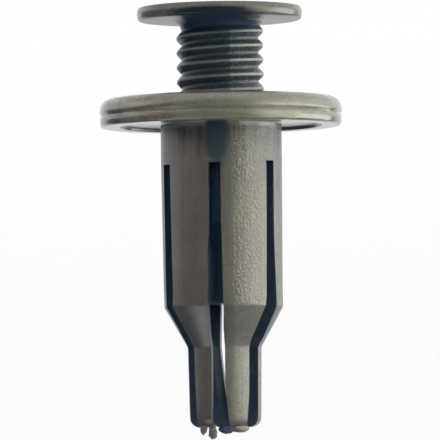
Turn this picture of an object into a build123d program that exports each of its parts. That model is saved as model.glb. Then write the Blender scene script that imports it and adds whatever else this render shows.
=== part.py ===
from build123d import *
from math import cos, radians, sin, tan
import os

# Screw-type push rivet: a slotted grommet, and the threaded pin that spreads its legs.
# Millimetres.  The part stands on the pin's flat head, whose outer face is z = 0.
# The common axis is Z and runs up from the head to the grommet's nose.
# The pin is drawn standing out of the grommet, as it is before it is pushed home.
# Heights on the grommet are counted from its seat, the plane that meets the panel.
# A rounded edge is drawn as a few narrow flats, which keeps the meshes light.

# ---- Pin: head ----
HEAD_DIAMETER = 13.7
HEAD_THICKNESS = 1.1
HEAD_EDGE_HEIGHT = 0.42     # height of the widest line of the rim
HEAD_TAPER = 0.14           # the rim is this much smaller in radius at its edges
HEAD_UNDER_BEVEL = 0.22
NECK_ROUND = 0.7            # hollow round from the head into the shank
NECK_FLAT_COUNT = 3

# ---- Pin: cross recess for a screwdriver ----
RECESS_SPAN = 4.6
RECESS_FLOOR_SPAN = 2.4
RECESS_ARM = 1.1
RECESS_DEPTH = 2.0

# ---- Pin: thread, shank and pilot tip ----
THREAD_DIAMETER = 7.2
THREAD_PITCH = 1.2
THREAD_TURNS = 7.8
THREAD_START_ANGLE = 180.0
THREAD_START_DEPTH = 0.32   # the ridge starts this deep in the head
THREAD_FLANK = 45.0         # slope of the flanks, in degrees
CREST_LAND = 0.26           # width of the flat on the crest
ROOT_LAND = 0.1             # width of the flat between two turns
FLANK_SINK = 0.025          # the flanks run this far below the flat
FOOT_SINK = 0.1             # and the ridge's foot lies this far below it
PILOT_LENGTH = 3.6
PILOT_BEVEL = 0.7

# ---- Grommet: flange ----
FLANGE_DIAMETER = 20.0
FLANGE_HEIGHT = 2.35
FLANGE_ROUND = 0.95
FLANGE_FLAT_COUNT = 4
LIP_WIDTH = 1.7             # ring that presses on the panel
LIP_DEPTH = 0.25            # the underside inside the lip lies this much deeper
LIP_BEVEL = 0.25

# ---- Grommet: stem, cone and nose ----
STEM_DIAMETER = 10.0
STEM_DRAFT = 0.1            # how much smaller the stem's radius is at the cone
STEM_LENGTH = 14.93
CONE_LENGTH = 3.29
CONE_WALL = 1.03
NOSE_DIAMETER = 6.1
NOSE_DRAFT = 0.11
NOSE_LENGTH = 6.62
NOSE_ROUND = 0.83
NOSE_FLAT_COUNT = 2
NOSE_BORE = 3.8

# ---- Grommet: slots between the legs ----
LEG_COUNT = 6
SLOT_ANGLE = -83.0          # direction of the first slot, in degrees from X
SLOT_START = 3.2            # from the seat to the closed end of the slots
SLOT_WIDTH = 1.05
SLOT_MOUTH = 1.2            # width at the nose's end
LONG_SLOT = 5               # slots are counted anticlockwise, from 0
LONG_SLOT_EXTRA = 0.2       # this one reaches so much further towards the flange

# ---- Fits ----
PIN_STANDOUT = 6.43         # from the flange's face to the head's underside, as drawn
HEAD_CLEARANCE = 0.3
HEAD_SINK = 0.05            # pushed home, the head lies this much below the face
NECK_CLEARANCE = 0.35
THREAD_CLEARANCE = 0.08     # between crest and guide bore
LEG_CLEARANCE = 0.25        # between crest and legs
PILOT_CLEARANCE = 0.15
TAPER_CLEARANCE = 0.1       # between the pin's taper and the legs, pushed home

# ---- Wear ----
BENT_LEG = 2                # leg 0 follows slot 0, anticlockwise
STEM_LEAN = -1.4            # sideways lean of the bent leg along the stem, in degrees
NOSE_LEAN = 6.0             # and along its cone and nose
LIPPED_LEGS = (2, 5)        # thin lips of the torn-off gate stand on these legs
END_LIP_HEIGHT = 0.43
END_LIP_INSET = 0.2
TORN_LEG = 0                # and two ragged stubs of it on this one
TORN_STUBS = (              # distance from the axis, sideways place, width, height
    (2.15, -0.25, 0.85, 1.0),
    (2.35, 0.55, 0.5, 0.6),
)
STUB_CORNERS = (1.0, 0.78, 1.1, 0.72, 0.94)     # uneven reach of its five corners
STUB_TOP_SCALE = 0.5
STUB_DRIFT = 0.2            # a stub leans outwards by this share of its width

# ---- Sizes that follow ----
head_radius = HEAD_DIAMETER / 2
crest_radius = THREAD_DIAMETER / 2
flange_radius = FLANGE_DIAMETER / 2
stem_radius = STEM_DIAMETER / 2
nose_radius = NOSE_DIAMETER / 2
nose_bore_radius = NOSE_BORE / 2
pilot_radius = nose_bore_radius - PILOT_CLEARANCE

flank = radians(THREAD_FLANK)
tooth_half_width = (THREAD_PITCH - ROOT_LAND) / 2
core_radius = crest_radius - (tooth_half_width - CREST_LAND / 2) * tan(flank)

seat_height = HEAD_THICKNESS + PIN_STANDOUT + FLANGE_HEIGHT
head_seat_depth = HEAD_THICKNESS + HEAD_SINK
push_travel = PIN_STANDOUT + head_seat_depth

stem_end_radius = stem_radius - STEM_DRAFT
nose_end_radius = nose_radius - NOSE_DRAFT
cone_end = STEM_LENGTH + CONE_LENGTH
nose_end = cone_end + NOSE_LENGTH
cone_slope = (stem_end_radius - nose_radius) / CONE_LENGTH
cone_stretch = (1 + cone_slope**2) ** 0.5
leg_bore_radius = crest_radius + LEG_CLEARANCE
leg_pitch = 360 / LEG_COUNT


def inner_cone_height(radius):
    """Height on the grommet at which the inside of the cone has this radius."""
    radius_at_start = stem_end_radius - CONE_WALL * cone_stretch
    return STEM_LENGTH + (radius_at_start - radius) / cone_slope


def turned(corners):
    """Solid of revolution about Z, from corners given as (radius, height)."""
    return revolve(Plane.XZ * Polygon(*corners, align=None), Axis.Z)


def round_corners(centre, size, first_angle, last_angle, flats):
    """Corners of a rounded edge, drawn as flats from one angle to another, in degrees."""
    corners = []
    for step in range(flats + 1):
        angle = radians(first_angle + (last_angle - first_angle) * step / flats)
        corners.append((centre[0] + size * cos(angle), centre[1] + size * sin(angle)))
    return corners


# ---------------------------------------------------------------- pin

def thread_tooth():
    """Section of the thread ridge: x is the distance from the axis, y runs along it."""
    foot_half_width = tooth_half_width + FLANK_SINK / tan(flank)
    return Polygon(
        (core_radius - FOOT_SINK, -foot_half_width),
        (core_radius - FLANK_SINK, -foot_half_width),
        (crest_radius, -CREST_LAND / 2),
        (crest_radius, CREST_LAND / 2),
        (core_radius - FLANK_SINK, foot_half_width),
        (core_radius - FOOT_SINK, foot_half_width),
        align=None,
    )


def thread_ridge():
    """Right-hand ridge, sunk a little into the shank.  It starts inside the head."""
    path = Helix(THREAD_PITCH, THREAD_TURNS * THREAD_PITCH, core_radius)
    ridge = sweep(-Plane.XZ * thread_tooth(), path, is_frenet=True)
    start_height = HEAD_THICKNESS - THREAD_START_DEPTH
    return Pos(0, 0, start_height) * Rot(0, 0, THREAD_START_ANGLE) * ridge


def cross_recess():
    """Cutter for the screwdriver recess, which opens at z = 0."""
    upwards = (Align.CENTER, Align.CENTER, Align.MIN)
    arm = Box(RECESS_SPAN, RECESS_ARM, RECESS_DEPTH, align=upwards)
    bowl = Cone(RECESS_SPAN / 2, RECESS_FLOOR_SPAN / 2, RECESS_DEPTH, align=upwards)
    return (arm + Rot(0, 0, 90) * arm) & bowl


def make_pin():
    """Flat head, threaded shank, taper and pilot tip."""
    home_height = seat_height - push_travel
    play = TAPER_CLEARANCE * cone_stretch
    taper_start = home_height + inner_cone_height(core_radius + play)
    taper_end = home_height + inner_cone_height(pilot_radius + play)
    tip = taper_end + PILOT_LENGTH
    rim_radius = head_radius - HEAD_TAPER
    neck_centre = (core_radius + NECK_ROUND, HEAD_THICKNESS + NECK_ROUND)
    blank = turned([
        (0, 0),
        (rim_radius, 0),
        (head_radius, HEAD_EDGE_HEIGHT),
        (rim_radius, HEAD_THICKNESS - HEAD_UNDER_BEVEL),
        (rim_radius - HEAD_UNDER_BEVEL, HEAD_THICKNESS),
        *round_corners(neck_centre, NECK_ROUND, -90, -180, NECK_FLAT_COUNT),
        (core_radius, taper_start),
        (pilot_radius, taper_end),
        (pilot_radius, tip - PILOT_BEVEL),
        (pilot_radius - PILOT_BEVEL, tip),
        (0, tip),
    ])
    return blank + thread_ridge() - cross_recess()


# ---------------------------------------------------------------- grommet

def end_lip():
    """Ring of the torn-off gate that stands on the end of the nose."""
    base = nose_end - NOSE_ROUND
    top = nose_end + END_LIP_HEIGHT
    outer = nose_end_radius - END_LIP_INSET
    return turned([(nose_bore_radius, base), (outer, base), (outer, top), (nose_bore_radius, top)])


def slot_cutter(slot):
    """Wedge that opens one slot.  It is drawn twice as long as the slot, to pass the nose."""
    start = SLOT_START - LONG_SLOT_EXTRA if slot == LONG_SLOT else SLOT_START
    end_half_width = SLOT_MOUTH - SLOT_WIDTH / 2
    end_height = 2 * nose_end - start
    section = Polygon(
        (-SLOT_WIDTH / 2, start),
        (SLOT_WIDTH / 2, start),
        (end_half_width, end_height),
        (-end_half_width, end_height),
        align=None,
    )
    return Rot(0, 0, SLOT_ANGLE + slot * leg_pitch) * extrude(Plane.YZ * section, flange_radius)


def leg_middle(leg):
    """Direction of the middle of a leg, in degrees from X."""
    return SLOT_ANGLE + (leg + 0.5) * leg_pitch


def leg_space(leg, start):
    """All the space round one leg, from a height on the grommet to beyond the nose."""
    side = 2 * flange_radius
    corners = [(0, 0)]
    for angle in (leg_middle(leg) - leg_pitch / 2, leg_middle(leg) + leg_pitch / 2):
        corners.append((side * cos(radians(angle)), side * sin(radians(angle))))
    return Pos(0, 0, start) * extrude(Polygon(*corners, align=None), 2 * nose_end)


def slotted_body():
    """Flange and slotted stem with straight legs, with the seat at z = 0."""
    face = -FLANGE_HEIGHT
    recess_radius = head_radius + HEAD_CLEARANCE
    recess_floor = face + head_seat_depth
    mouth_radius = core_radius + NECK_ROUND + NECK_CLEARANCE
    guide_radius = crest_radius + THREAD_CLEARANCE
    mouth_end = recess_floor + mouth_radius - guide_radius
    guide_end = SLOT_START - (leg_bore_radius - guide_radius)
    flange_centre = (flange_radius - FLANGE_ROUND, face + FLANGE_ROUND)
    nose_centre = (nose_end_radius - NOSE_ROUND, nose_end - NOSE_ROUND)
    body = turned([
        (recess_radius, face),
        *round_corners(flange_centre, FLANGE_ROUND, -90, 0, FLANGE_FLAT_COUNT),
        (flange_radius, -LIP_BEVEL),
        (flange_radius - LIP_BEVEL, 0),
        (flange_radius - LIP_WIDTH, 0),
        (flange_radius - LIP_WIDTH, -LIP_DEPTH),
        (stem_radius, -LIP_DEPTH),
        (stem_radius, SLOT_START),
        (stem_end_radius, STEM_LENGTH),
        (nose_radius, cone_end),
        *round_corners(nose_centre, NOSE_ROUND, 0, 90, NOSE_FLAT_COUNT),
        (nose_bore_radius, nose_end),
        (nose_bore_radius, inner_cone_height(nose_bore_radius)),
        (leg_bore_radius, inner_cone_height(leg_bore_radius)),
        (leg_bore_radius, SLOT_START),
        (guide_radius, guide_end),
        (guide_radius, mouth_end),
        (mouth_radius, recess_floor),
        (recess_radius, recess_floor),
    ])
    for leg in LIPPED_LEGS:
        body += end_lip() & leg_space(leg, 0)
    for slot in range(LEG_COUNT):
        body -= slot_cutter(slot)
    return body


def torn_stub(radial, sideways, width, height):
    """Ragged stub of the torn-off gate on the end of the torn leg."""
    base = nose_end - NOSE_ROUND / 2
    top = nose_end + height
    levels = ((base, 1, 0), ((nose_end + top) / 2, 1, STUB_DRIFT / 2), (top, STUB_TOP_SCALE, STUB_DRIFT))
    sections = []
    for level, scale, drift in levels:
        corners = []
        for number, corner_reach in enumerate(STUB_CORNERS):
            angle = radians(360 * number / len(STUB_CORNERS))
            reach = corner_reach * scale * width / 2
            corners.append((radial + drift * width + reach * cos(angle), sideways + reach * sin(angle)))
        sections.append(Pos(0, 0, level) * Polygon(*corners, align=None))
    return Rot(0, 0, leg_middle(TORN_LEG)) * loft(sections, ruled=True)


def leaned(piece, leg, lean, start):
    """Shear a piece of a leg sideways.  Its section at the start height stays where it is."""
    slope_x = -sin(radians(leg_middle(leg))) * tan(radians(lean))
    slope_y = cos(radians(leg_middle(leg))) * tan(radians(lean))
    return piece.transform_geometry(Matrix([
        [1, 0, slope_x, -slope_x * start],
        [0, 1, slope_y, -slope_y * start],
        [0, 0, 1, 0],
    ]))


def with_bent_leg(body):
    """Lean the bent leg one way along the stem, and the other way from the cone on."""
    straight_leg = body & leg_space(BENT_LEG, SLOT_START)
    nose_space = leg_space(BENT_LEG, STEM_LENGTH)
    stem_piece = leaned(straight_leg - nose_space, BENT_LEG, STEM_LEAN, SLOT_START)
    nose_piece = leaned(straight_leg & nose_space, BENT_LEG, NOSE_LEAN, STEM_LENGTH)
    nose_shift = (STEM_LENGTH - SLOT_START) * tan(radians(STEM_LEAN))
    turn = Rot(0, 0, leg_middle(BENT_LEG))
    nose_piece = turn * Pos(0, nose_shift, 0) * turn.inverse() * nose_piece
    return body - leg_space(BENT_LEG, SLOT_START) + stem_piece + nose_piece


def make_grommet():
    """Flange, stem and worn legs, lifted to where the pin carries them."""
    body = slotted_body()
    for stub in TORN_STUBS:
        body += torn_stub(*stub)
    return Pos(0, 0, seat_height) * with_bent_leg(body)


os.makedirs("parts", exist_ok=True)
for name, shape in (("pin", make_pin()), ("grommet", make_grommet())):
    export_step(shape, f"parts/{name}.step")
    print(f"{name}: {shape.volume:.1f} mm3, valid {shape.is_valid}, solids {len(shape.solids())}")
print(f"push travel {push_travel:.2f} mm, seat height {seat_height:.2f} mm")
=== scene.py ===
import math
import bmesh
import bpy
from mathutils import Matrix, Vector, noise


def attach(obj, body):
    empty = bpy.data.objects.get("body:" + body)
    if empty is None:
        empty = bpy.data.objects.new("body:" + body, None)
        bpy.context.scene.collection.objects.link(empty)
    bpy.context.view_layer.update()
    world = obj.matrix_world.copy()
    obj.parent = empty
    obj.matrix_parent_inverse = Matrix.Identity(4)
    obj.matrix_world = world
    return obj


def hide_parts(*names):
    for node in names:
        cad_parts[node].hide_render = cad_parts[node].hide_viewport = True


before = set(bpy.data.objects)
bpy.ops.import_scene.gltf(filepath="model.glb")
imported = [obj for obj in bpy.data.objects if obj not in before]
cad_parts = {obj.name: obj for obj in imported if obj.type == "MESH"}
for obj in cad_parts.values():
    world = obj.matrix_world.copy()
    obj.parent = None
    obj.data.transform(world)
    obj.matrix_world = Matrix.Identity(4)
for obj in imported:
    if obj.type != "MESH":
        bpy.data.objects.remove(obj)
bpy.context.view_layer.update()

# Screw-type push rivet in satin moulded nylon: a slotted grommet and its threaded pin.
# Sizes are millimetres.  The pin's flat head stands on the floor, and Z runs up to the nose.
# Heights on the grommet are counted from its seat, the plane that meets the panel.

MM = 0.001
SEAT_HEIGHT = 9.88

# ---- Pin ----
CORE_RADIUS = 3.18
HEAD_RADIUS = 6.85
HEAD_HEIGHT = 1.085
NECK_ROUND = 0.9
TAPER_START = 17.98
TAPER_END = 20.53
PILOT_RADIUS = 1.75
PIN_TIP = 24.55
PIN_COLUMNS = 144

# ---- Cross recess in the head's outer face ----
RECESS_HALF_ARM = 0.55
RECESS_REACH = 2.3
RECESS_FLOOR_REACH = 1.2
RECESS_DEPTH = 2.0
CUTTER_OVERSHOOT = 0.3

# ---- Thread ----
CREST_RADIUS = 3.6
THREAD_PITCH = 1.2
THREAD_TURNS = 7.45
THREAD_START = 1.2
THREAD_START_ANGLE = 306.0
THREAD_FOOT_WIDTH = THREAD_PITCH + 0.24
THREAD_FOOT_DEPTH = 0.1
THREAD_CREST_WIDTH = 0.18
THREAD_CREST_ROUND = 0.14
THREAD_RUN_OUT = 0.06
THREAD_STEPS_A_TURN = 96

# ---- Grommet ----
FLANGE_RADIUS = 10.0
FLANGE_FACE = -2.35
POCKET_RADIUS = 7.15
POCKET_FLOOR = -1.185
HOLLOW_RADIUS = 8.35
HOLLOW_FLOOR = -0.25
BORE_RADIUS = 3.68
STEM_RADIUS = 5.0
STEM_FOOT = 2.0
LEG_BORE_RADIUS = 3.85
CONE_ROUNDS = (0.5, 0.7)
NOSE_RADIUS = 2.94
NOSE_BORE_RADIUS = 1.9
NOSE_ROUND = 0.83
NOSE_END = 24.84
NOSE_LEAN = 0.05
EDGE_ROUND = 0.07
EDGE_ROUND_STEPS = 3
EDGE_ROUND_ANGLE = 38

# ---- Legs and slots, counted anticlockwise ----
LEG_COUNT = 6
LEG_COLUMNS = 22
SLOT_COLUMNS = 4
SLOT_ANGLE = -83.0
SLOT_START = 3.2
SLOT_WIDTH = 0.99
SLOT_MOUTH = 1.21
LONG_SLOT = 5
LONG_SLOT_START = 3.0
BENT_LEG = 2
# The bent leg's bends: height and degrees, each spread over a soft length.
LEG_BENDS = ((SLOT_START, -0.83), (15.0, 2.93), (18.2, 5.1), (21.6, 3.0))
BEND_SOFTNESS = 1.0
# How the walls of some slots wander, for the low and the high wall of a slot: each shift
# with the heights where it starts and where it is complete.
WALL_DRIFTS = {
    0: ([(0.09, 13.0, 18.0), (0.13, 14.8, 17.0), (-0.3, 20.8, 25.6)],
        [(0.09, 13.0, 18.0), (0.12, 8.5, 10.5), (-0.07, 17.0, 18.5), (0.07, 20.0, 24.6)]),
    1: ([(-0.25, -4.0, -3.0), (0.25, 13.5, 15.5), (-0.1, 20.0, 24.6)],
        []),
    LONG_SLOT: ([(-0.22, 9.0, 14.0), (0.22, 17.3, 18.3)],
                [(0.12, 14.0, 15.2), (-0.12, 17.3, 18.3), (0.18, 21.5, 24.8)]),
}

# ---- Flash and broken gate on the legs' ends ----
# Leg, degrees from its middle, distance from the axis, height, half sizes (outwards,
# sideways, up), roughness and seed.
END_LIPS = [
    (5, -6.0, 2.45, 24.98, (0.4, 0.86, 0.32), 0.1, 3.0),
]
BENT_LEG_LIPS = [
    (2, 2.0, 2.3, 24.95, (0.3, 0.72, 0.4), 0.12, 8.0),
]
TORN_PRONGS = [
    (0, 14.5, 2.38, 24.9, (0.2, 0.2, 0.52), 0.45, 1.0),
    (0, 8.0, 2.42, 24.88, (0.2, 0.2, 0.42), 0.45, 2.0),
]
GATE_STUBS = [
    (0, -10.0, 2.35, 25.33, (0.3, 0.38, 0.49), 0.22, 5.0),
    (0, -8.0, 2.3, 24.85, (0.25, 0.3, 0.4), 0.3, 6.0),
]
LUMP_FREQUENCY = 1.6
LUMP_FRACTAL = (0.7, 2.2, 4)

# ---- Skin of the nylon, and the light and shade painted on it ----
FLOW_MARK_SIZE = 2.2
GRAIN_SIZE = 0.22
STREAK_SIZE = 0.45
SPECK_SIZE = 0.3
GRAIN_DEPTH = 0.03
FINE_HALF_DEPTH = 0.45
RIM_DEPTH = 0.15
RIM_BLEND = 0.25
RIM_COAT = 0.35
CREST_HIGHLIGHT_BLEND = 0.03
INSIDE_PAINTED_LIGHT_BLEND = 1.5
COARSE_HALF_FROM = -0.75
COARSE_HALF_TO = -0.95
ROOT_SHADE_COLOUR = "33312e"
ROOT_SHADE_FROM = 0.1
ROOT_SHADE_TO = 3.6
STREAK_COLOUR = "5c5158"
SCUFF_AND_DARK_REFLECTION_COLOUR = "6a5658"
SPECK_COLOUR = "c9c5ae"
CREST_HIGHLIGHT_COLOUR = "c4c6bc"
OUT_OF_REACH = 50.0

# ---- Room, lights and camera ----
SWEEP_CORNERS = [(-3000, 0, 0), (6500, 0, 1500), (6500, 5000, 0)]
SWEEP_HALF_WIDTH = 5000
SWEEP_STEPS = 24
WINDOW_HEADING = (-0.839, 0.545, 0)
MIDDLE = (0, 0, 18)
# Name, place, aim, width and height in millimetres, power in watts, colour and spread in
# degrees.
PANELS = [
    ("floor_lamp_right", (-140, -95, 160), (-140, -95, 0), 150, 150, 0.72, "fffbd5", 50),
    ("near_lamp_right", (-39, -22, 100), (-39, -22, 0), 20, 20, 0.078, "fffdf0", 20),
    ("near_lamp_left", (39, -22, 100), (39, -22, 0), 20, 20, 0.027, "ffe3b4", 20),
    ("high_panel_left", (276, -159, 336), MIDDLE, 250, 250, 0.31, "ffffff", 180),
    ("high_panel_right", (-276, -159, 336), MIDDLE, 250, 250, 0.11, "ffffff", 180),
    ("side_panel", (-448, 0, 65), MIDDLE, 200, 120, 0.33, "ffffff", 180),
    ("window_panel", (-360, -235, 100), MIDDLE, 300, 200, 0.42, "fffdf0", 180),
    ("back_panel", (-406, 189, 65), MIDDLE, 200, 120, 0.25, "ffffff", 180),
]
ROOM_COLOUR = "95cbff"
ROOM_STRENGTH = 0.09
CAMERA_PLACE = Vector((0, -477, 39.4))
CAMERA_AIM = Vector((0.19, 0, 17.6))
CAMERA_ROLL = 179.2
LENS_LENGTH = 473.0


# ------------------------------------------------------------ small helpers

def linear(hex_colour):
    """Linear RGBA of an sRGB colour given as six hex digits."""
    channels = []
    for place in (0, 2, 4):
        value = int(hex_colour[place:place + 2], 16) / 255
        channels.append(value / 12.92 if value <= 0.04045 else ((value + 0.055) / 1.055) ** 2.4)
    return (*channels, 1.0)


def add_node(tree, kind, settings=None, links=None):
    """Add a node, set its properties or sockets by name, and link sockets to it."""
    node = tree.nodes.new(kind)
    for name, value in (settings or {}).items():
        if isinstance(name, str) and hasattr(node, name):
            setattr(node, name, value)
        else:
            node.inputs[name].default_value = value
    for name, source in (links or {}).items():
        tree.links.new(source, node.inputs[name])
    return node


def filleted(corners, steps=6):
    """Line through corners (across, along, round), with each corner rounded by its radius."""
    line = []
    for number, (x, y, size) in enumerate(corners):
        here = Vector((x, y))
        if size == 0 or number in (0, len(corners) - 1):
            line.append((x, y))
            continue
        before = (Vector(corners[number - 1][:2]) - here).normalized()
        after = (Vector(corners[number + 1][:2]) - here).normalized()
        half = before.angle(after) / 2
        middle = here + (before + after).normalized() * size / math.sin(half)
        first = here + before * size / math.tan(half) - middle
        last = here + after * size / math.tan(half) - middle
        for step in range(steps + 1):
            spoke = first.slerp(last, step / steps)
            line.append(tuple(middle + spoke.normalized() * size))
    return line


def new_piece(name, vertices, faces, material):
    """Mesh object from millimetre vertices, with its normals turned outwards."""
    mesh = bpy.data.meshes.new(name)
    mesh.from_pydata([tuple(c * MM for c in v) for v in vertices], [], faces)
    body = bmesh.new()
    body.from_mesh(mesh)
    bmesh.ops.remove_doubles(body, verts=body.verts, dist=1e-7)
    bmesh.ops.delete(body, geom=[v for v in body.verts if not v.link_faces], context="VERTS")
    bmesh.ops.recalc_face_normals(body, faces=body.faces)
    for face in body.faces:
        face.smooth = True
    body.to_mesh(mesh)
    body.free()
    piece = bpy.data.objects.new(name, mesh)
    bpy.context.scene.collection.objects.link(piece)
    mesh.materials.append(material)
    return piece


def made_plain(piece):
    """Turn a piece and its live modifiers into a plain mesh."""
    bpy.context.view_layer.update()
    graph = bpy.context.evaluated_depsgraph_get()
    mesh = bpy.data.meshes.new_from_object(piece.evaluated_get(graph), depsgraph=graph)
    piece.modifiers.clear()
    piece.data = mesh
    return piece


def bevelled(piece):
    """Round the sharp edges of a piece by a few hundredths of a millimetre."""
    bevel = piece.modifiers.new("edge round", "BEVEL")
    bevel.width = EDGE_ROUND * MM
    bevel.segments = EDGE_ROUND_STEPS
    bevel.limit_method = "ANGLE"
    bevel.angle_limit = math.radians(EDGE_ROUND_ANGLE)
    bevel.harden_normals = True
    bevel.use_clamp_overlap = True
    return made_plain(piece)


# ------------------------------------------------------------ materials

def add_painted_shade(tree, shader, skin, place, shade_patches, gloss):
    """Soft matt patches of painted shade over a skin: each has its middle, its half sizes and a
    colour.
    """
    sheen = None
    for middle, sizes, shade_colour in shade_patches:
        spread = add_node(tree, "ShaderNodeMapping",
                          {"Scale": [1 / (size * MM) for size in sizes],
                           "Location": [-at / size for at, size in zip(middle, sizes)]},
                          {"Vector": place})
        away = add_node(tree, "ShaderNodeVectorMath", {"operation": "LENGTH"},
                        {0: spread.outputs[0]})
        shade_share = add_node(tree, "ShaderNodeMapRange", {"From Min": 1.2, "From Max": 0.75},
                           {"Value": away.outputs["Value"]})
        skin = add_node(tree, "ShaderNodeMix", {"data_type": "RGBA"},
                        {0: shade_share.outputs[0], 6: skin.outputs[2]})
        skin.inputs[7].default_value = linear(shade_colour)
        matt = add_node(tree, "ShaderNodeMath",
                        {"operation": "MULTIPLY_ADD", 1: -0.9 * gloss, 2: gloss},
                        {0: shade_share.outputs[0]})
        if sheen:
            matt = add_node(tree, "ShaderNodeMath", {"operation": "MINIMUM"},
                            {0: sheen.outputs[0], 1: matt.outputs[0]})
        sheen = matt
    if sheen:
        tree.links.new(sheen.outputs[0], shader.inputs["Specular IOR Level"])
    return skin


def add_relief(tree, shader, rim_light_and_polish, half, grain, streaks, rim_rough, coarse):
    """Satin roughness, the rim's coat, and the bump of the grain and draw lines."""
    satin = add_node(tree, "ShaderNodeMapRange", {"To Min": 0.28, "To Max": 0.42},
                     {"Value": grain.outputs["Fac"]})
    rough = add_node(tree, "ShaderNodeMix", {"data_type": "FLOAT"},
                     {0: rim_light_and_polish.outputs[0], 2: satin.outputs[0]})
    rough.inputs[3].default_value = rim_rough
    tree.links.new(rough.outputs[0], shader.inputs["Roughness"])
    polish = add_node(tree, "ShaderNodeMath", {"operation": "MULTIPLY", 1: RIM_COAT},
                      {0: rim_light_and_polish.outputs[0]})
    tree.links.new(polish.outputs[0], shader.inputs["Coat Weight"])
    shader.inputs["Coat Roughness"].default_value = 0.16
    relief = add_node(tree, "ShaderNodeMath", {"operation": "MULTIPLY_ADD", 1: 0.5},
                      {0: streaks.outputs["Fac"], 2: grain.outputs["Fac"]})
    half_depth = add_node(tree, "ShaderNodeMapRange",
                          {"To Min": FINE_HALF_DEPTH, "To Max": coarse},
                          {"Value": half.outputs[0]})
    depth = add_node(tree, "ShaderNodeMix", {"data_type": "FLOAT"},
                     {0: rim_light_and_polish.outputs[0], 2: half_depth.outputs[0]})
    depth.inputs[3].default_value = RIM_DEPTH
    bump = add_node(tree, "ShaderNodeBump", {"Distance": GRAIN_DEPTH * MM},
                    {"Height": relief.outputs[0], "Strength": depth.outputs[0]})
    tree.links.new(bump.outputs[0], shader.inputs["Normal"])


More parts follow.
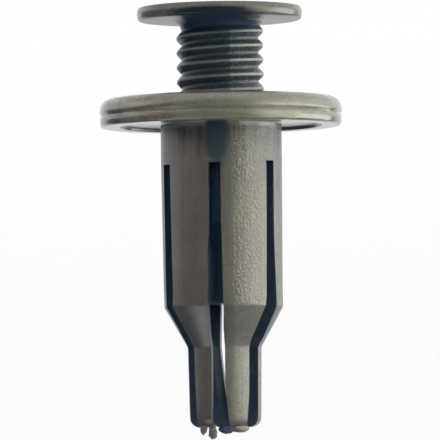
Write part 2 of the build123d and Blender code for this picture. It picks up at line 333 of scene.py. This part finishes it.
def nylon(name, base, dark, light, rim, rim_height, rim_rough, seed, coarse=1.7, shade_patches=(),
          streak_share=0.0, root_shade=0.0, speck_share=0.35, crest_highlight_radius=OUT_OF_REACH,
          inside_painted_light=None, inside_painted_light_height=OUT_OF_REACH, gloss=1.0):
    """Moulded nylon: satin skin with cloudy flow marks, a fine grain and long draw lines.

    Up to the rim height the skin is smoother and coated, and its lighter colour there is painted
    light on the head and flange.
    One half of the mould was coarser than the other. Outside the crest highlight radius a pale
    colour is a painted highlight, and above the inside painted light height a lighter colour is
    painted light on what sits inside the grommet. Shade patches are painted shade.
    """
    material = bpy.data.materials.new(name)
    material.use_nodes = True
    tree = material.node_tree
    shader = tree.nodes["Principled BSDF"]
    shader.inputs["IOR"].default_value = 1.5
    shader.inputs["Specular IOR Level"].default_value = gloss

    # Where: the rim, whose lighter colour is painted light, and the coarse half outside it.
    place = add_node(tree, "ShaderNodeTexCoord").outputs["Object"]
    axes = add_node(tree, "ShaderNodeSeparateXYZ", {}, {"Vector": place})
    rim_light_and_polish = add_node(tree, "ShaderNodeMapRange",
                       {"From Min": rim_height * MM, "From Max": (rim_height + RIM_BLEND) * MM,
                        "To Min": 1.0, "To Max": 0.0}, {"Value": axes.outputs["Z"]})
    off_rim = add_node(tree, "ShaderNodeMath", {"operation": "SUBTRACT", 0: 1.0},
                         {1: rim_light_and_polish.outputs[0]})
    half = add_node(tree, "ShaderNodeMapRange",
                    {"From Min": COARSE_HALF_FROM * MM, "From Max": COARSE_HALF_TO * MM},
                    {"Value": axes.outputs["X"], "To Max": off_rim.outputs[0]})

    # Noises: flow marks, grain, draw lines and specks.
    shifted = add_node(tree, "ShaderNodeMapping", {"Location": (seed * MM, 0, 0)},
                       {"Vector": place})
    drawn = add_node(tree, "ShaderNodeMapping", {"Scale": (1, 1, 0.06)}, {"Vector": place})
    clouds = add_node(tree, "ShaderNodeTexNoise",
                      {"Scale": 1 / (FLOW_MARK_SIZE * MM), "Detail": 4.0, "Roughness": 0.6},
                      {"Vector": shifted.outputs[0]})
    grain = add_node(tree, "ShaderNodeTexNoise",
                     {"Scale": 1 / (GRAIN_SIZE * MM), "Detail": 2.0, "Roughness": 0.6},
                     {"Vector": shifted.outputs[0]})
    streaks = add_node(tree, "ShaderNodeTexNoise",
                       {"Scale": 1 / (STREAK_SIZE * MM), "Detail": 2.0},
                       {"Vector": drawn.outputs[0]})
    specks = add_node(tree, "ShaderNodeTexNoise",
                      {"Scale": 1 / (SPECK_SIZE * MM), "Detail": 3.0, "Roughness": 0.7},
                      {"Vector": shifted.outputs[0]})

    # Moulded skin: cloudy tone, a lighter colour as painted light on what lies inside the grommet,
    # draw lines, dark streaks as painted shade on the stem next to the flange, and pale flecks.
    cloud_ramp = add_node(tree, "ShaderNodeMapRange", {"From Min": 0.3, "From Max": 0.7},
                          {"Value": clouds.outputs["Fac"]})
    tone = add_node(tree, "ShaderNodeMix", {"data_type": "RGBA"}, {0: cloud_ramp.outputs[0]})
    tone.inputs[6].default_value = linear(base)
    tone.inputs[7].default_value = linear(dark)
    # Above the inside height a lighter blue is painted light on the pin inside the grommet.
    inside_share = add_node(tree, "ShaderNodeMapRange",
                         {"From Min": inside_painted_light_height * MM,
                          "From Max": (inside_painted_light_height + INSIDE_PAINTED_LIGHT_BLEND) * MM},
                         {"Value": axes.outputs["Z"]})
    inside_lit = add_node(tree, "ShaderNodeMix", {"data_type": "RGBA"},
                    {0: inside_share.outputs[0], 6: tone.outputs[2]})
    inside_lit.inputs[7].default_value = linear(inside_painted_light or base)
    smooth_half = add_node(tree, "ShaderNodeMapRange",
                           {"To Min": streak_share, "To Max": 0.0}, {"Value": half.outputs[0]})
    streak_ramp = add_node(tree, "ShaderNodeMapRange", {"From Min": 0.42, "From Max": 0.62},
                           {"Value": streaks.outputs["Fac"], "To Max": smooth_half.outputs[0]})
    streaked = add_node(tree, "ShaderNodeMix", {"data_type": "RGBA"},
                        {0: streak_ramp.outputs[0], 6: inside_lit.outputs[2]})
    streaked.inputs[7].default_value = linear(STREAK_COLOUR)
    # Dark streaks that fade out along the stem away from the flange: painted shade of the flange.
    root_shade_share = add_node(tree, "ShaderNodeMapRange",
                          {"From Min": (rim_height + ROOT_SHADE_FROM) * MM,
                           "From Max": (rim_height + ROOT_SHADE_TO) * MM,
                           "To Min": root_shade, "To Max": 0.0}, {"Value": axes.outputs["Z"]})
    root_shade_ramp = add_node(tree, "ShaderNodeMapRange", {"From Min": 0.47, "From Max": 0.58},
                         {"Value": streaks.outputs["Fac"], "To Max": root_shade_share.outputs[0]})
    root_shaded = add_node(tree, "ShaderNodeMix", {"data_type": "RGBA"},
                       {0: root_shade_ramp.outputs[0], 6: streaked.outputs[2]})
    root_shaded.inputs[7].default_value = linear(ROOT_SHADE_COLOUR)
    fleck_share = add_node(tree, "ShaderNodeMapRange", {"To Min": 0.25, "To Max": 0.65},
                           {"Value": half.outputs[0]})
    grain_ramp = add_node(tree, "ShaderNodeMapRange", {"From Min": 0.42, "From Max": 0.7},
                          {"Value": grain.outputs["Fac"], "To Max": fleck_share.outputs[0]})
    flecked = add_node(tree, "ShaderNodeMix", {"data_type": "RGBA"},
                       {0: grain_ramp.outputs[0], 6: root_shaded.outputs[2]})
    flecked.inputs[7].default_value = linear(light)

    # Painted highlight on the crests: everything further from the axis than the crest highlight
    # radius, strongest on the coarse half.
    flat = add_node(tree, "ShaderNodeMapping", {"Scale": (1, 1, 0)}, {"Vector": place})
    reach = add_node(tree, "ShaderNodeVectorMath", {"operation": "LENGTH"},
                     {0: flat.outputs[0]})
    crest_highlight_share = add_node(tree, "ShaderNodeMapRange", {"To Min": 0.35},
                         {"Value": half.outputs[0]})
    crest_highlight = add_node(tree, "ShaderNodeMapRange",
                      {"From Min": crest_highlight_radius * MM, "From Max": (crest_highlight_radius + CREST_HIGHLIGHT_BLEND) * MM},
                      {"Value": reach.outputs["Value"], "To Max": crest_highlight_share.outputs[0]})
    crest_highlighted = add_node(tree, "ShaderNodeMix", {"data_type": "RGBA"},
                    {0: crest_highlight.outputs[0], 6: flecked.outputs[2]})
    crest_highlighted.inputs[7].default_value = linear(CREST_HIGHLIGHT_COLOUR)

    # Rim: dark purple-brown cloudy patches that get stronger to one side, painted dark reflection
    # over mottled scuffs, and pale specks.
    scuff_and_reflection_share = add_node(tree, "ShaderNodeMapRange",
                           {"From Min": 2 * MM, "From Max": 8 * MM,
                            "To Min": 0.2, "To Max": 0.8}, {"Value": axes.outputs["X"]})
    scuff_and_reflection_ramp = add_node(tree, "ShaderNodeMapRange", {"From Min": 0.44, "From Max": 0.62},
                          {"Value": clouds.outputs["Fac"], "To Max": scuff_and_reflection_share.outputs[0]})
    scuffs_and_reflection = add_node(tree, "ShaderNodeMix", {"data_type": "RGBA"}, {0: scuff_and_reflection_ramp.outputs[0]})
    scuffs_and_reflection.inputs[6].default_value = linear(rim)
    scuffs_and_reflection.inputs[7].default_value = linear(SCUFF_AND_DARK_REFLECTION_COLOUR)
    speck_ramp = add_node(tree, "ShaderNodeMapRange",
                          {"From Min": 0.5, "From Max": 0.68, "To Max": speck_share},
                          {"Value": specks.outputs["Fac"]})
    specked = add_node(tree, "ShaderNodeMix", {"data_type": "RGBA"},
                       {0: speck_ramp.outputs[0], 6: scuffs_and_reflection.outputs[2]})
    specked.inputs[7].default_value = linear(SPECK_COLOUR)

    skin = add_node(tree, "ShaderNodeMix", {"data_type": "RGBA"},
                    {0: rim_light_and_polish.outputs[0], 6: crest_highlighted.outputs[2], 7: specked.outputs[2]})
    skin = add_painted_shade(tree, shader, skin, place, shade_patches, gloss)
    tree.links.new(skin.outputs[2], shader.inputs["Base Color"])
    add_relief(tree, shader, rim_light_and_polish, half, grain, streaks, rim_rough, coarse)
    return material


# Its shade patch is painted shade on the front of the stem next to the flange.
grommet_nylon = nylon("nylon_moulded_grey_green", "6f6e68", "625d5b", "86877e", "92927d",
                      SEAT_HEIGHT + 0.02, 0.24, 3,
                      streak_share=0.4, root_shade=0.85, speck_share=0.2,
                      shade_patches=[((0.35, -5.0, SEAT_HEIGHT + 0.6), (0.92, 2.0, 3.1), "46535e")])
# A darker blue copy of the grommet's nylon for the slot walls and the legs' insides: painted
# shade.
grommet_painted_shade = nylon("nylon_painted_shade_blue_grey", "495b70", "415267", "55687e", "495b70",
                       0, 0.24, 5, 0.5, gloss=0.4)
torn_nylon = nylon("nylon_torn_whitened", "b0a28b", "7d7160", "cfc4ae", "b0a28b",
                   0, 0.6, 7, 0.8)
# The pin's nylon is a darker, bluer copy of the grommet's: painted shade of the pin between head
# and flange.
pin_nylon_painted_shade = nylon("nylon_blue_grey_painted_shade", "35475a", "2d3e50", "808a80", "8a8776",
                  HEAD_HEIGHT - 0.2, 0.28, 11, speck_share=0.45, gloss=0.65,
                  crest_highlight_radius=CREST_RADIUS - 0.035, inside_painted_light="6c84a2",
                  inside_painted_light_height=SEAT_HEIGHT + 0.6,
                  # Shade patches: painted shade and dark reflection on the front of the head and
                  # of the neck.
                  shade_patches=[((0.5, -6.6, 0.95), (4.2, 2.6, 0.6), "39434f"),
                          ((0.2, -3.4, 1.5), (3.7, 3.2, 0.8), "43546a")])


# ------------------------------------------------------------ pin

def lathe(line, columns):
    """Vertices and faces of a closed solid of revolution whose line starts and ends on Z."""
    vertices = [(0, 0, line[0][1])]
    faces = []
    for radius, height in line[1:-1]:
        for column in range(columns):
            angle = 2 * math.pi * column / columns
            vertices.append((radius * math.cos(angle), radius * math.sin(angle), height))
    vertices.append((0, 0, line[-1][1]))
    rings = len(line) - 2
    last = len(vertices) - 1
    for column in range(columns):
        beside = (column + 1) % columns
        faces.append((0, 1 + column, 1 + beside))
        for ring in range(rings - 1):
            low = 1 + ring * columns
            high = low + columns
            faces.append((low + column, low + beside, high + beside, high + column))
        top = 1 + (rings - 1) * columns
        faces.append((last, top + beside, top + column))
    return vertices, faces


def make_pin_blank():
    """Head with a soft rim, hollow neck, shank, taper and pilot tip."""
    line = filleted([
        (0, 0, 0),
        (6.74, 0, 0.16),
        (HEAD_RADIUS, 0.42, 0.5),
        (6.76, HEAD_HEIGHT, 0.3),
        (CORE_RADIUS, HEAD_HEIGHT, NECK_ROUND),
        (CORE_RADIUS, TAPER_START, 0.4),
        (PILOT_RADIUS, TAPER_END, 0.4),
        (PILOT_RADIUS, PIN_TIP, 0.6),
        (0, PIN_TIP, 0),
    ])
    vertices, faces = lathe(line, PIN_COLUMNS)
    return new_piece("pin", vertices, faces, pin_nylon_painted_shade)


def cross_recess_cutter():
    """Cutter for the cross recess, whose arms get shorter towards its floor."""
    levels = [(-CUTTER_OVERSHOOT, RECESS_REACH), (0.0, RECESS_REACH),
              (RECESS_DEPTH, RECESS_FLOOR_REACH)]
    vertices, faces = [], []
    for height, reach in levels:
        for quarter in range(4):
            angle = math.pi / 2 * quarter
            for along, across in ((reach, -RECESS_HALF_ARM), (reach, RECESS_HALF_ARM),
                                  (RECESS_HALF_ARM, RECESS_HALF_ARM)):
                vertices.append((along * math.cos(angle) - across * math.sin(angle),
                                 along * math.sin(angle) + across * math.cos(angle), height))
    count = len(vertices) // len(levels)
    for level in range(len(levels) - 1):
        low, high = level * count, (level + 1) * count
        for corner in range(count):
            beside = (corner + 1) % count
            faces.append((low + corner, low + beside, high + beside, high + corner))
    faces.append(tuple(range(count)))
    faces.append(tuple(range(len(vertices) - count, len(vertices))))
    return new_piece("recess_cutter", vertices, faces, pin_nylon_painted_shade)


def thread_tree():
    """Geometry Nodes tree: a rounded ridge swept along a helix, fading out at both ends."""
    tree = bpy.data.node_groups.new("screw thread", "GeometryNodeTree")
    kinds = dict.fromkeys(("Pitch", "Core radius", "Ridge height", "Foot width", "Crest width",
                           "Crest round", "Start height", "Run-out", "Turns"), "Float")
    kinds.update({"Steps a turn": "Int", "Material": "Material"})
    sizes = {name: tree.interface.new_socket(name, in_out="INPUT",
                                             socket_type="NodeSocket" + kind)
             for name, kind in kinds.items()}
    tree.interface.new_socket("Geometry", in_out="OUTPUT", socket_type="NodeSocketGeometry")
    given = add_node(tree, "NodeGroupInput").outputs
    length = add_node(tree, "ShaderNodeMath", {"operation": "MULTIPLY"},
                      {0: given["Pitch"], 1: given["Turns"]})
    helix = add_node(tree, "GeometryNodeCurveSpiral", {"Reverse": True},
                     {"Resolution": given["Steps a turn"], "Rotations": given["Turns"],
                      "Start Radius": given["Core radius"], "End Radius": given["Core radius"],
                      "Height": length.outputs[0]})
    upright = add_node(tree, "GeometryNodeSetCurveNormal", {"mode": "Z_UP"},
                       {"Curve": helix.outputs[0]})
    half_height = add_node(tree, "ShaderNodeMath", {"operation": "MULTIPLY", 1: 0.5},
                           {0: given["Ridge height"]})
    section = add_node(tree, "GeometryNodeCurvePrimitiveQuadrilateral",
                       {"mode": "TRAPEZOID", "Offset": 0.0},
                       {"Height": given["Ridge height"], "Bottom Width": given["Foot width"],
                        "Top Width": given["Crest width"]})
    rounded = add_node(tree, "GeometryNodeFilletCurve",
                       {"mode": "POLY", "Count": 3, "Limit Radius": True},
                       {"Curve": section.outputs[0], "Radius": given["Crest round"]})
    lifted = add_node(tree, "ShaderNodeCombineXYZ", {}, {"X": half_height.outputs[0]})
    raised = add_node(tree, "GeometryNodeTransform", {"Rotation": (0, 0, math.radians(-90))},
                      {"Geometry": rounded.outputs[0], "Translation": lifted.outputs[0]})
    along = add_node(tree, "GeometryNodeSplineParameter")
    from_end = add_node(tree, "ShaderNodeMath", {"operation": "SUBTRACT", 0: 1.0},
                        {1: along.outputs["Factor"]})
    nearest = add_node(tree, "ShaderNodeMath", {"operation": "MINIMUM"},
                       {0: along.outputs["Factor"], 1: from_end.outputs[0]})
    fade = add_node(tree, "ShaderNodeMapRange",
                    {"interpolation_type": "SMOOTHSTEP", "To Min": 0.25},
                    {"Value": nearest.outputs[0], "From Max": given["Run-out"]})
    ridge = add_node(tree, "GeometryNodeCurveToMesh", {"Fill Caps": True},
                     {"Curve": upright.outputs[0], "Profile Curve": raised.outputs[0],
                      "Scale": fade.outputs[0]})
    place = add_node(tree, "ShaderNodeCombineXYZ", {}, {"Z": given["Start height"]})
    placed = add_node(tree, "GeometryNodeTransform", {},
                      {"Geometry": ridge.outputs[0], "Translation": place.outputs[0]})
    smooth = add_node(tree, "GeometryNodeSetShadeSmooth", {}, {"Geometry": placed.outputs[0]})
    real = add_node(tree, "GeometryNodeRealizeInstances", {}, {"Geometry": smooth.outputs[0]})
    finished = add_node(tree, "GeometryNodeSetMaterial", {},
                        {"Geometry": real.outputs[0], "Material": given["Material"]})
    add_node(tree, "NodeGroupOutput", {}, {"Geometry": finished.outputs[0]})
    return tree, {name: socket.identifier for name, socket in sizes.items()}


def make_thread():
    """Right-hand thread of the pin, its foot a little inside the shank."""
    tree, identifiers = thread_tree()
    piece = bpy.data.objects.new("pin_thread", bpy.data.meshes.new("pin_thread"))
    bpy.context.scene.collection.objects.link(piece)
    sweep = piece.modifiers.new("thread", "NODES")
    sweep.node_group = tree
    values = {
        "Pitch": THREAD_PITCH * MM,
        "Turns": THREAD_TURNS,
        "Core radius": (CORE_RADIUS - THREAD_FOOT_DEPTH) * MM,
        "Ridge height": (CREST_RADIUS - CORE_RADIUS + THREAD_FOOT_DEPTH) * MM,
        "Foot width": THREAD_FOOT_WIDTH * MM,
        "Crest width": THREAD_CREST_WIDTH * MM,
        "Crest round": THREAD_CREST_ROUND * MM,
        "Start height": THREAD_START * MM,
        "Run-out": THREAD_RUN_OUT,
        "Steps a turn": THREAD_STEPS_A_TURN,
        "Material": pin_nylon_painted_shade,
    }
    for name, value in values.items():
        sweep[identifiers[name]] = value
    made_plain(piece)
    piece.data.transform(Matrix.Rotation(math.radians(THREAD_START_ANGLE), 4, "Z"))
    return piece


# ------------------------------------------------------------ grommet

def outer_line():
    """Outside of the stem, cone and nose: radius and height, from the slots' level up."""
    return filleted([
        (STEM_RADIUS, STEM_FOOT, 0),
        (STEM_RADIUS, SLOT_START, 0),
        (4.9, 14.93, CONE_ROUNDS[0]),
        (3.05, 18.22, CONE_ROUNDS[1]),
        (NOSE_RADIUS, NOSE_END, NOSE_ROUND),
        (NOSE_BORE_RADIUS, NOSE_END, 0),
    ])


def inner_line():
    """Inside of the legs, from the guide bore up to the nose's mouth."""
    return filleted([
        (BORE_RADIUS, STEM_FOOT, 0),
        (BORE_RADIUS, 3.03, 0),
        (LEG_BORE_RADIUS, 3.2, 0),
        (LEG_BORE_RADIUS, 14.7, CONE_ROUNDS[0]),
        (NOSE_BORE_RADIUS, 18.16, CONE_ROUNDS[1]),
        (NOSE_BORE_RADIUS, NOSE_END, 0),
    ])


def radius_at(line, height):
    """Radius of a line at a height on the grommet.  The line climbs all the way."""
    for (r0, h0), (r1, h1) in zip(line, line[1:]):
        if h0 <= height <= h1 and h1 > h0:
            return r0 + (r1 - r0) * (height - h0) / (h1 - h0)
    return line[-1][0]


def eased(value, start, end):
    """0 before the start, 1 after the end and a soft step between them."""
    share = min(1.0, max(0.0, (value - start) / (end - start)))
    return share * share * (3 - 2 * share)


def slot_edges(slot, height):
    """Where the two walls of a slot stand, sideways from its middle plane, anticlockwise."""
    half = (SLOT_WIDTH + (SLOT_MOUTH - SLOT_WIDTH) * eased(height, 6.0, 18.0)) / 2
    drifts = WALL_DRIFTS.get(slot % LEG_COUNT, ([], []))
    return [edge + sum(shift * eased(height, start, end) for shift, start, end in wall)
            for edge, wall in zip((-half, half), drifts)]


def bend(height, start, degrees):
    """Sideways shift of something that bends softly from a height on."""
    past = height - start
    return math.tan(math.radians(degrees)) * (past + math.hypot(past, BEND_SOFTNESS)) / 2


def leg_shift(leg, height):
    """Sideways shift of a leg, anticlockwise: only the bent one leans."""
    if leg != BENT_LEG or height < SLOT_START:
        return 0.0
    return sum(bend(height, start, by) - bend(SLOT_START, start, by) for start, by in LEG_BENDS)


def ring(radius, height):
    """One ring of the grommet: the legs' columns and the slots' columns between them."""
    points = []
    pitch = 2 * math.pi / LEG_COUNT
    lean = NOSE_LEAN * eased(height, 13.0, 16.5)
    for leg in range(LEG_COUNT):
        start = math.radians(SLOT_ANGLE) + leg * pitch
        middle = start + pitch / 2
        first = math.asin(slot_edges(leg, height)[1] / radius)
        last = pitch + math.asin(slot_edges(leg + 1, height)[0] / radius)
        past = pitch + math.asin(slot_edges(leg + 1, height)[1] / radius)
        shift = leg_shift(leg, height)
        for column in range(LEG_COLUMNS + 1):
            angle = start + first + (last - first) * column / LEG_COLUMNS
            points.append((radius * math.cos(angle) - shift * math.sin(middle) - lean,
                           radius * math.sin(angle) + shift * math.cos(middle),
                           SEAT_HEIGHT + height))
        for column in range(1, SLOT_COLUMNS):
            angle = start + last + (past - last) * column / SLOT_COLUMNS
            points.append((radius * math.cos(angle) - lean, radius * math.sin(angle),
                           SEAT_HEIGHT + height))
    return points


def flange_line():
    """Guide bore, head pocket, flange with its two-tier rim and lip, and stem up to the slots."""
    return filleted([
        (BORE_RADIUS, LONG_SLOT_START, 0),
        (BORE_RADIUS, -0.65, 0.1),
        (4.23, POCKET_FLOOR, 0.1),
        (POCKET_RADIUS, POCKET_FLOOR, 0.12),
        (POCKET_RADIUS, FLANGE_FACE, 0.12),
        (FLANGE_RADIUS, FLANGE_FACE, 0.93),
        (FLANGE_RADIUS, -1.2, 0.4),
        (FLANGE_RADIUS - 0.12, -0.88, 0.05),
        (FLANGE_RADIUS - 0.01, -0.78, 0.08),
        (FLANGE_RADIUS, -0.5, 0.3),
        (FLANGE_RADIUS - 0.06, 0, 0.22),
        (HOLLOW_RADIUS, 0, 0.06),
        (HOLLOW_RADIUS - 0.05, HOLLOW_FLOOR, 0.06),
        (STEM_RADIUS, HOLLOW_FLOOR, 0.12),
        (STEM_RADIUS, 0.9, 0),
        (STEM_RADIUS, STEM_FOOT, 0),
        (STEM_RADIUS, LONG_SLOT_START, 0),
    ])


def stem_levels():
    """Heights of the rings along the slotted part, close together where it bends."""
    levels = [LONG_SLOT_START, 3.03, 3.08, 3.14, SLOT_START]
    for top, step in ((14.2, 0.42), (19.4, 0.09), (23.7, 0.42)):
        while levels[-1] < top:
            levels.append(levels[-1] + step)
    count = 12
    for number in range(1, count + 1):
        rise = math.sin(math.pi / 2 * number / count)
        levels.append(NOSE_END - NOSE_ROUND + NOSE_ROUND * rise)
    return levels


def make_grommet():
    """Flange, slotted stem, cone and nose as one closed mesh."""
    per_leg = LEG_COLUMNS + SLOT_COLUMNS
    columns = LEG_COUNT * per_leg
    rings = []

    def add_ring(radius, height):
        rings.append(ring(radius, height))
        return len(rings) - 1

    faces = []

    def quad(low, high, column):
        beside = (column + 1) % columns
        faces.append((low * columns + column, low * columns + beside,
                      high * columns + beside, high * columns + column))

    flange = [add_ring(radius, height) for radius, height in flange_line()]
    for low, high in zip(flange, flange[1:]):
        for column in range(columns):
            quad(low, high, column)

    levels = stem_levels()
    outside, inside = outer_line(), inner_line()
    outer = [flange[-1]] + [add_ring(radius_at(outside, h), h) for h in levels[1:]]
    inner = [flange[0]] + [add_ring(radius_at(inside, h), h) for h in levels[1:]]
    for number in range(len(levels) - 1):
        for column in range(columns):
            leg, place = divmod(column, per_leg)
            slot = (leg + 1) % LEG_COUNT
            slot_start = LONG_SLOT_START if slot == LONG_SLOT else SLOT_START
            is_open = place >= LEG_COLUMNS and levels[number] >= slot_start
            if not is_open:
                quad(outer[number], outer[number + 1], column)
                quad(inner[number], inner[number + 1], column)
                continue
            if place == LEG_COLUMNS:
                for edge in (column, (column + SLOT_COLUMNS) % columns):
                    faces.append(tuple(ring_number * columns + edge for ring_number in (
                        outer[number], outer[number + 1], inner[number + 1], inner[number])))
            if levels[number] == slot_start:
                quad(outer[number], inner[number], column)
    for column in range(columns):
        if column % per_leg < LEG_COLUMNS:
            quad(outer[-1], inner[-1], column)

    vertices = [point for points in rings for point in points]
    piece = new_piece("grommet_moulding", vertices, faces, grommet_nylon)
    piece.data.materials.append(grommet_painted_shade)
    # Faces inside the outer skin, the slot walls and the legs' insides, get the painted-shade copy
    # of the nylon.
    skin_depth = 0.2
    for face in piece.data.polygons:
        x, y, z = (c / MM for c in face.center)
        height = z - SEAT_HEIGHT
        skin_radius = radius_at(outside, height) - skin_depth
        if height > LONG_SLOT_START and math.hypot(x, y) < skin_radius:
            face.material_index = 1
    return piece


def bead(leg, turn, distance, height, size, rough, seed):
    """Lump of flash on a leg's end: degrees from the leg's middle, place and half sizes."""
    middle = math.radians(SLOT_ANGLE + 360 / LEG_COUNT * (leg + 0.5) + turn)
    body = bmesh.new()
    bmesh.ops.create_icosphere(body, subdivisions=4, radius=1.0)
    vertices = []
    for vertex in body.verts:
        spot = vertex.co * LUMP_FREQUENCY + Vector((seed, 0, 0))
        push = 1 + rough * noise.fractal(spot, *LUMP_FRACTAL)
        along, across, up = (c * push * half for c, half in zip(vertex.co, size))
        angle = middle + across / distance
        reach = distance + along
        shift = leg_shift(leg, NOSE_END)
        vertices.append((reach * math.cos(angle) - shift * math.sin(middle) - NOSE_LEAN,
                         reach * math.sin(angle) + shift * math.cos(middle),
                         SEAT_HEIGHT + height + up))
    faces = [tuple(v.index for v in face.verts) for face in body.faces]
    body.free()
    return vertices, faces


def make_flash(name, beads, material):
    """Lumps of flash and broken gate as one piece of closed beads."""
    vertices, faces = [], []
    for values in beads:
        more, shapes = bead(*values)
        faces += [tuple(v + len(vertices) for v in face) for face in shapes]
        vertices += more
    return new_piece(name, vertices, faces, material)


# ------------------------------------------------------------ assembly

def put_together():
    """Make every piece and let it ride on its body."""
    pin = make_pin_blank()
    cutter = cross_recess_cutter()
    cut = pin.modifiers.new("recess", "BOOLEAN")
    cut.operation = "DIFFERENCE"
    cut.object = cutter
    cut.solver = "EXACT"
    made_plain(pin)
    bpy.data.objects.remove(cutter)
    pin.name = "pin_moulding"
    thread = make_thread()
    grommet = bevelled(make_grommet())
    lips = make_flash("end_lips", END_LIPS, grommet_nylon)
    # The bent leg's lips take the painted-shade copy of the nylon.
    back_lips = make_flash("bent_leg_lips", BENT_LEG_LIPS, grommet_painted_shade)
    gate = make_flash("gate_stubs", GATE_STUBS, grommet_nylon)
    prongs = make_flash("torn_prongs", TORN_PRONGS, torn_nylon)
    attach(pin, "pin")
    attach(thread, "pin")
    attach(grommet, "grommet")
    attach(lips, "grommet")
    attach(back_lips, "grommet")
    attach(gate, "grommet")
    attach(prongs, "grommet")
    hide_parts("pin")
    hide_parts("grommet")


put_together()


# ------------------------------------------------------------ room, lights and camera

def make_room():
    """Plain white sweep: a floor that runs up into a backdrop far behind."""
    vertices, faces = [], []
    for along, up in filleted(SWEEP_CORNERS, SWEEP_STEPS):
        vertices += [(-SWEEP_HALF_WIDTH, along, up), (SWEEP_HALF_WIDTH, along, up)]
    for low in range(0, len(vertices) - 2, 2):
        faces.append((low, low + 1, low + 3, low + 2))
    material = bpy.data.materials.new("paper_matt_white")
    material.use_nodes = True
    tree = material.node_tree
    tree.nodes.clear()
    rays = add_node(tree, "ShaderNodeLightPath")
    place = add_node(tree, "ShaderNodeTexCoord").outputs["Object"]
    depth = add_node(tree, "ShaderNodeSeparateXYZ", {}, {"Vector": place})
    paper = add_node(tree, "ShaderNodeBsdfDiffuse", {"Color": (0.85, 0.85, 0.85, 1)})
    # For glossy rays the floor glows near the object and on the window side, a painted reflection,
    # and elsewhere shows a dimmer paper, a painted dark reflection.
    near = add_node(tree, "ShaderNodeMapRange",
                    {"From Min": -30 * MM, "From Max": -15 * MM, "To Max": 1.0},
                    {"Value": depth.outputs["Y"]})
    heading = add_node(tree, "ShaderNodeVectorMath", {"operation": "NORMALIZE"}, {0: place})
    beside = add_node(tree, "ShaderNodeVectorMath",
                      {"operation": "DOT_PRODUCT", 1: WINDOW_HEADING},
                      {0: heading.outputs["Vector"]})
    window_side = add_node(tree, "ShaderNodeMapRange",
                           {"From Min": 0.0, "From Max": 0.15, "To Max": 0.75},
                           {"Value": beside.outputs["Value"]})
    mirrored = add_node(tree, "ShaderNodeMath", {"operation": "MAXIMUM"},
                        {0: near.outputs[0], 1: window_side.outputs[0]})
    mirrored_glow = add_node(tree, "ShaderNodeEmission", {"Color": (1, 1, 1, 1)},
                             {"Strength": mirrored.outputs[0]})
    dim_paper = add_node(tree, "ShaderNodeBsdfDiffuse", {"Color": (0.5, 0.5, 0.5, 1)})
    mirrored_paper = add_node(tree, "ShaderNodeAddShader", {},
                              {0: dim_paper.outputs[0], 1: mirrored_glow.outputs[0]})
    thin_paper = add_node(tree, "ShaderNodeBsdfDiffuse", {"Color": (0.12, 0.12, 0.12, 1)})
    glow = add_node(tree, "ShaderNodeEmission", {"Color": (1, 1, 1, 1), "Strength": 0.97})
    bright = add_node(tree, "ShaderNodeAddShader", {},
                      {0: thin_paper.outputs[0], 1: glow.outputs[0]})
    not_seen = add_node(tree, "ShaderNodeMixShader", {},
                        {0: rays.outputs["Is Glossy Ray"], 1: paper.outputs[0],
                         2: mirrored_paper.outputs[0]})
    either = add_node(tree, "ShaderNodeMixShader", {},
                      {0: rays.outputs["Is Camera Ray"], 1: not_seen.outputs[0],
                       2: bright.outputs[0]})
    add_node(tree, "ShaderNodeOutputMaterial", {}, {"Surface": either.outputs[0]})
    room = new_piece("paper_sweep", vertices, faces, material)


def add_panel(name, place, aim, width, height, power, colour, spread):
    """Soft light panel, from one row of the table of panels."""
    light = bpy.data.lights.new(name, "AREA")
    light.shape = "RECTANGLE"
    light.size = width * MM
    light.size_y = height * MM
    light.energy = power
    light.color = linear(colour)[:3]
    light.spread = math.radians(spread)
    panel = bpy.data.objects.new(name, light)
    panel.location = Vector(place) * MM
    panel.rotation_euler = (Vector(aim) - Vector(place)).to_track_quat("-Z", "Y").to_euler()
    bpy.context.scene.collection.objects.link(panel)


def make_lights():
    """Lamps over the floor on both sides, panels beside and above, and a dim cool room."""
    for row in PANELS:
        add_panel(*row)
    world = bpy.data.worlds.new("room")
    bpy.context.scene.world = world
    world.use_nodes = True
    tree = world.node_tree
    tree.nodes.clear()
    rays = add_node(tree, "ShaderNodeLightPath")
    dim = add_node(tree, "ShaderNodeBackground",
                   {"Color": linear(ROOM_COLOUR), "Strength": ROOM_STRENGTH})
    white = add_node(tree, "ShaderNodeBackground", {"Color": (1, 1, 1, 1), "Strength": 1.0})
    seen = add_node(tree, "ShaderNodeMixShader", {},
                    {0: rays.outputs["Is Camera Ray"], 1: dim.outputs[0], 2: white.outputs[0]})
    add_node(tree, "ShaderNodeOutputWorld", {}, {"Surface": seen.outputs[0]})


def make_camera():
    """Long lens, a few degrees above the head, turned over so that the head is uppermost."""
    lens = bpy.data.cameras.new("camera")
    lens.sensor_width = 36
    lens.lens = LENS_LENGTH
    lens.clip_start = 0.05
    lens.clip_end = 40
    camera = bpy.data.objects.new("camera", lens)
    bpy.context.scene.collection.objects.link(camera)
    bpy.context.scene.camera = camera
    turn = (CAMERA_AIM - CAMERA_PLACE).to_track_quat("-Z", "Y").to_matrix().to_4x4()
    roll = Matrix.Rotation(math.radians(CAMERA_ROLL), 4, "Z")
    camera.matrix_world = Matrix.Translation(CAMERA_PLACE * MM) @ turn @ roll


make_room()
make_lights()
make_camera()
bpy.context.scene.view_settings.view_transform = "Standard"
